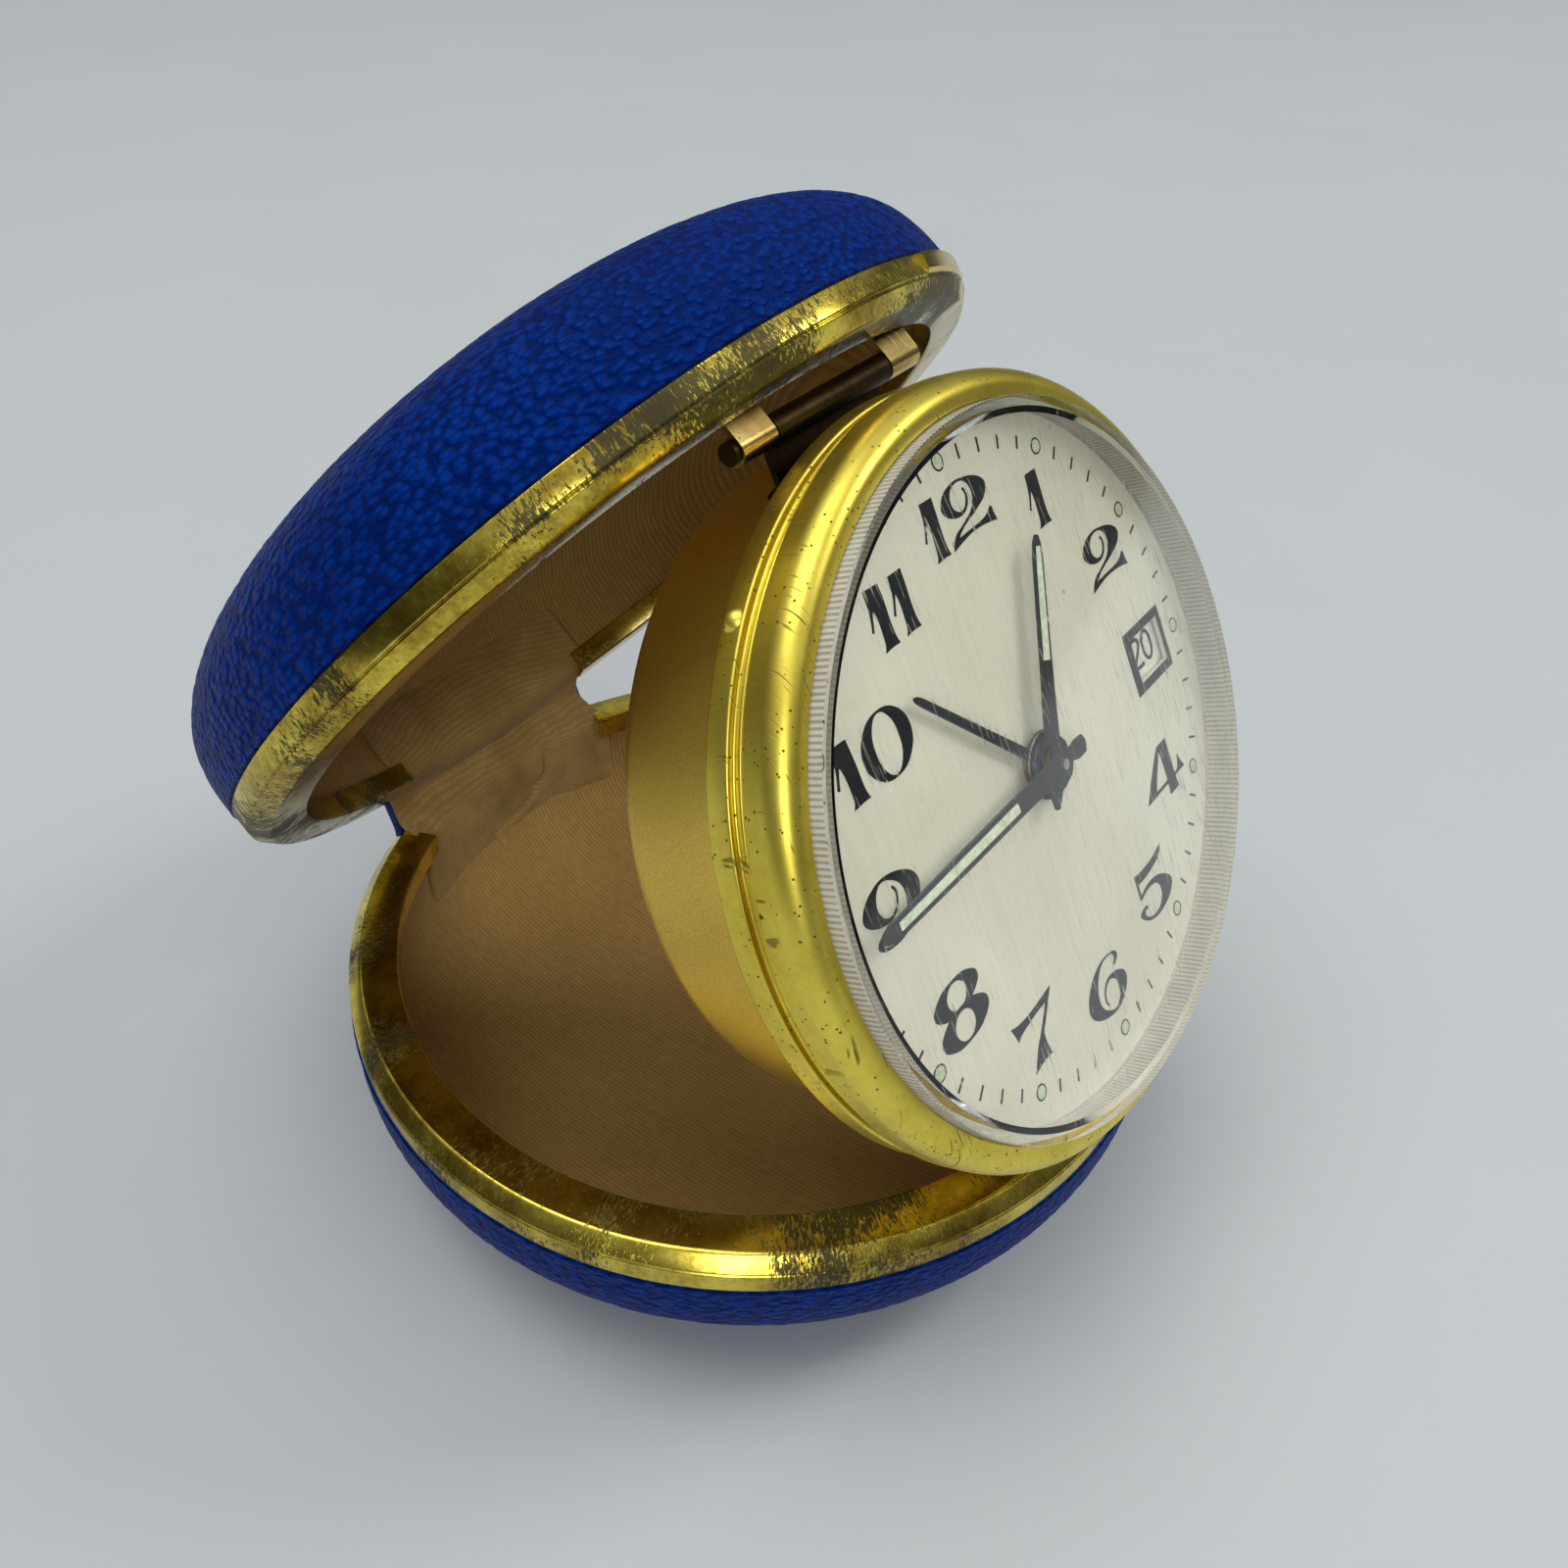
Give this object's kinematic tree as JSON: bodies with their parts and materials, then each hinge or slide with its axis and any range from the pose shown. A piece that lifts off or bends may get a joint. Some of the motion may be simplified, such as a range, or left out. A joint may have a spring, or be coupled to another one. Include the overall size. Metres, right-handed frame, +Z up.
{
  "type": "folding travel alarm clock",
  "caption": "Round folding travel alarm clock: two leather covered half shells on a soft strap hinge, with a brass clock head hinged in the lid.",
  "frame": {"origin": "centre of the flat foot under the lower half of the case", "axes": "the dial faces -Y, tilted up; +X is to the right of someone who reads the dial; +Z is up"},
  "size_m": [0.0764, 0.0857, 0.0847],
  "materials": {
    "rim_brass": "polished",
    "blue_leather": "grained, satin",
    "steel_shell": "satin",
    "tan_lining": "ribbed, matt",
    "tan_strap": "matt",
    "hinge_brass": "worn",
    "drum_brass": "satin",
    "bezel_brass": "polished, scratched",
    "crystal": "polished",
    "dial_paint": "satin",
    "hand_black": "gloss",
    "date_paint": "satin",
    "spring_steel": "blued",
    "bright_steel": "polished",
    "movement_brass": "brushed"
  },
  "bodies": {
    "base": {"base_shell": "steel_shell", "base_leather": "blue_leather", "base_rim": "rim_brass", "base_lining": "tan_lining", "strap_base": "tan_strap"},
    "lid": {"lid_shell": "steel_shell", "lid_leather": "blue_leather", "lid_rim": "rim_brass", "lid_lining": "tan_lining", "strap_lid": "tan_strap", "opening_tab": "rim_brass", "hinge_bracket": "hinge_brass", "hinge_pin": "hinge_brass"},
    "head": {"case_drum": "drum_brass", "case_flange": "bezel_brass", "hinge_leaf": "hinge_brass", "bezel": "bezel_brass", "crystal": "crystal", "dial": "dial_paint", "case_screws": "bright_steel", "front_plate": "movement_brass", "back_plate": "movement_brass", "pillars": "movement_brass"},
    "centre_train": {"minute_hand": "hand_black", "centre_arbor": "bright_steel", "centre_wheel": "movement_brass", "set_knob": "bright_steel"},
    "minute_stud": {"minute_wheel": "movement_brass"},
    "hour_pipe": {"hour_hand": "hand_black", "hour_wheel": "movement_brass"},
    "alarm_pipe": {"alarm_hand": "hand_black", "alarm_wheel": "movement_brass"},
    "alarm_set": {"alarm_setter": "movement_brass", "alarm_knob": "bright_steel"},
    "date": {"date_ring": "date_paint"},
    "time_drum": {"time_barrel": "movement_brass", "time_mainspring": "spring_steel"},
    "time_winder": {"time_arbor": "bright_steel", "time_key": "bright_steel"},
    "third": {"third_wheel": "movement_brass"},
    "fourth": {"fourth_wheel": "movement_brass"},
    "escape": {"escape_wheel": "bright_steel"},
    "pallet": {"pallet_lever": "bright_steel"},
    "balance": {"balance_wheel": "movement_brass", "hairspring": "spring_steel"},
    "regulator_arm": {"regulator": "bright_steel"},
    "alarm_drum": {"alarm_barrel": "movement_brass", "alarm_mainspring": "spring_steel"},
    "alarm_winder": {"alarm_arbor": "bright_steel", "alarm_key": "bright_steel"},
    "alarm_escape": {"alarm_escape_wheel": "movement_brass"},
    "hammer_arm": {"hammer": "bright_steel"},
    "stop_button": {"alarm_stop": "bright_steel"}
  },
  "joints": [
    {"name": "lid_hinge", "type": "hinge", "parent": "base", "child": "lid", "pos_m": [0, 0.0374, 0.0199], "axis": [-1, 0, 0], "range_deg": [0, 65]},
    {"name": "clock_fold", "type": "hinge", "parent": "lid", "child": "head", "pos_m": [0, -0.00536, 0.07256], "axis": [1, 0, 0], "range_deg": [0, 64.3]},
    {"name": "minute_turn", "type": "hinge", "parent": "head", "child": "centre_train", "pos_m": [0, -0.01764, 0.0447], "axis": [0, -0.891, 0.454], "continuous": true},
    {"name": "minute_wheel_turn", "type": "hinge", "parent": "head", "child": "minute_stud", "pos_m": [0.0036, -0.02048, 0.03914], "axis": [0, -0.891, 0.454], "continuous": true},
    {"name": "hour_turn", "type": "hinge", "parent": "head", "child": "hour_pipe", "pos_m": [0, -0.01764, 0.0447], "axis": [0, -0.891, 0.454], "continuous": true},
    {"name": "date_turn", "type": "hinge", "parent": "head", "child": "date", "pos_m": [0, -0.01764, 0.0447], "axis": [0, -0.891, 0.454], "continuous": true},
    {"name": "time_drum_turn", "type": "hinge", "parent": "head", "child": "time_drum", "pos_m": [-0.01183, -0.0196, 0.04086], "axis": [0, -0.891, 0.454], "continuous": true},
    {"name": "third_turn", "type": "hinge", "parent": "head", "child": "third", "pos_m": [0.00655, -0.0141, 0.05166], "axis": [0, -0.891, 0.454], "continuous": true},
    {"name": "fourth_turn", "type": "hinge", "parent": "head", "child": "fourth", "pos_m": [0.01373, -0.01562, 0.04868], "axis": [0, -0.891, 0.454], "continuous": true},
    {"name": "escape_turn", "type": "hinge", "parent": "head", "child": "escape", "pos_m": [0.01315, -0.0186, 0.04282], "axis": [0, -0.891, 0.454], "continuous": true},
    {"name": "pallet_rock", "type": "hinge", "parent": "head", "child": "pallet", "pos_m": [0.01129, -0.02092, 0.03826], "axis": [0, -0.891, 0.454], "range_deg": [-5, 5]},
    {"name": "balance_swing", "type": "hinge", "parent": "head", "child": "balance", "pos_m": [0.00478, -0.0234, 0.03339], "axis": [0, -0.891, 0.454], "range_deg": [-135, 135], "stiffness_Nm_per_rad": 0.000002},
    {"name": "regulator_set", "type": "hinge", "parent": "head", "child": "regulator_arm", "pos_m": [0.00478, -0.0234, 0.03339], "axis": [0, -0.891, 0.454], "range_deg": [-20, 20]},
    {"name": "time_wind", "type": "hinge", "parent": "head", "child": "time_winder", "pos_m": [-0.01183, -0.0196, 0.04086], "axis": [0, -0.891, 0.454], "continuous": true},
    {"name": "alarm_turn", "type": "hinge", "parent": "head", "child": "alarm_pipe", "pos_m": [0, -0.01764, 0.0447], "axis": [0, -0.891, 0.454], "continuous": true},
    {"name": "alarm_set_turn", "type": "hinge", "parent": "head", "child": "alarm_set", "pos_m": [-0.00261, -0.01322, 0.05338], "axis": [0, -0.891, 0.454], "continuous": true},
    {"name": "alarm_drum_turn", "type": "hinge", "parent": "head", "child": "alarm_drum", "pos_m": [-0.00857, -0.01115, 0.05744], "axis": [0, -0.891, 0.454], "continuous": true},
    {"name": "alarm_escape_turn", "type": "hinge", "parent": "head", "child": "alarm_escape", "pos_m": [-0.00204, -0.00977, 0.06015], "axis": [0, -0.891, 0.454], "continuous": true},
    {"name": "alarm_wind", "type": "hinge", "parent": "head", "child": "alarm_winder", "pos_m": [-0.00857, -0.01115, 0.05744], "axis": [0, -0.891, 0.454], "continuous": true},
    {"name": "hammer_strike", "type": "hinge", "parent": "head", "child": "hammer_arm", "pos_m": [0.00089, -0.00989, 0.05992], "axis": [0, -0.891, 0.454], "range_deg": [-8, 8]},
    {"name": "stop_press", "type": "slide", "parent": "head", "child": "stop_button", "axis": [0, -0.891, 0.454], "range_m": [0, 0.0012], "stiffness_N_per_m": 100, "springref_m": -0.0005}
  ],
  "couplings": [
    {"joint": "minute_wheel_turn", "follows": "minute_turn", "ratio": -0.33333},
    {"joint": "hour_turn", "follows": "minute_turn", "ratio": 0.083333},
    {"joint": "date_turn", "follows": "minute_turn", "ratio": 0.0013441},
    {"joint": "time_drum_turn", "follows": "minute_turn", "ratio": -0.16667},
    {"joint": "third_turn", "follows": "minute_turn", "ratio": -7.5},
    {"joint": "fourth_turn", "follows": "minute_turn", "ratio": 60},
    {"joint": "escape_turn", "follows": "minute_turn", "ratio": -600},
    {"joint": "alarm_set_turn", "follows": "alarm_turn", "ratio": -6},
    {"joint": "alarm_escape_turn", "follows": "alarm_drum_turn", "ratio": -5}
  ]
}
